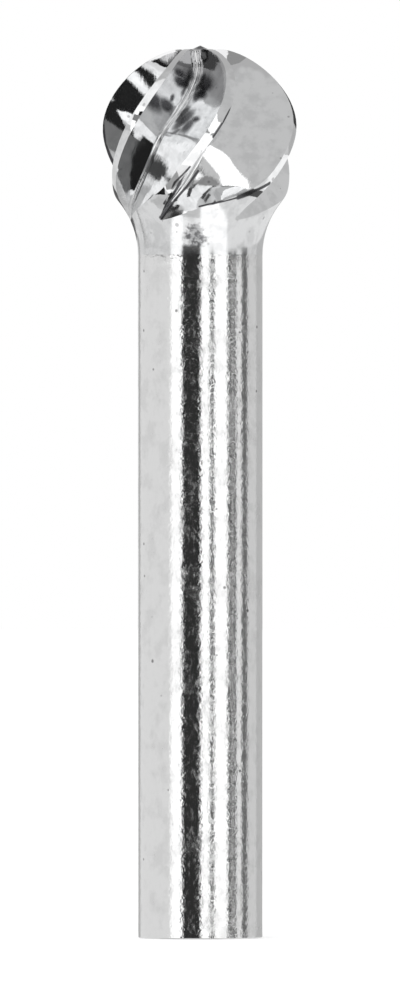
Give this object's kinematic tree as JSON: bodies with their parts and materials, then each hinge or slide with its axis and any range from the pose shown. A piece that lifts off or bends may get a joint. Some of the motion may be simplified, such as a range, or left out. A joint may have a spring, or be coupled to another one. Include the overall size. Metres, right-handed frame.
{
  "type": "carbide burr",
  "caption": "Ball-nosed rotary burr with right-hand helical ground teeth, a flared neck and a plain round shank that a collet grips.",
  "frame": {"origin": "centre of the shank's flat end", "axes": "+Z along the tool's axis from the shank's flat end to the nose of the ball, -Y towards the viewer of the picture, +X to its right"},
  "size_m": [0.0093, 0.0095, 0.043],
  "materials": {
    "carbide": "bright ground tungsten carbide, with fine wheel lines in the flutes",
    "shank_steel": "centreless-ground bright steel, with fine marks around the shank"
  },
  "bodies": {
    "root": {"carbide_head": "carbide", "steel_shank": "shank_steel"}
  },
  "joints": []
}
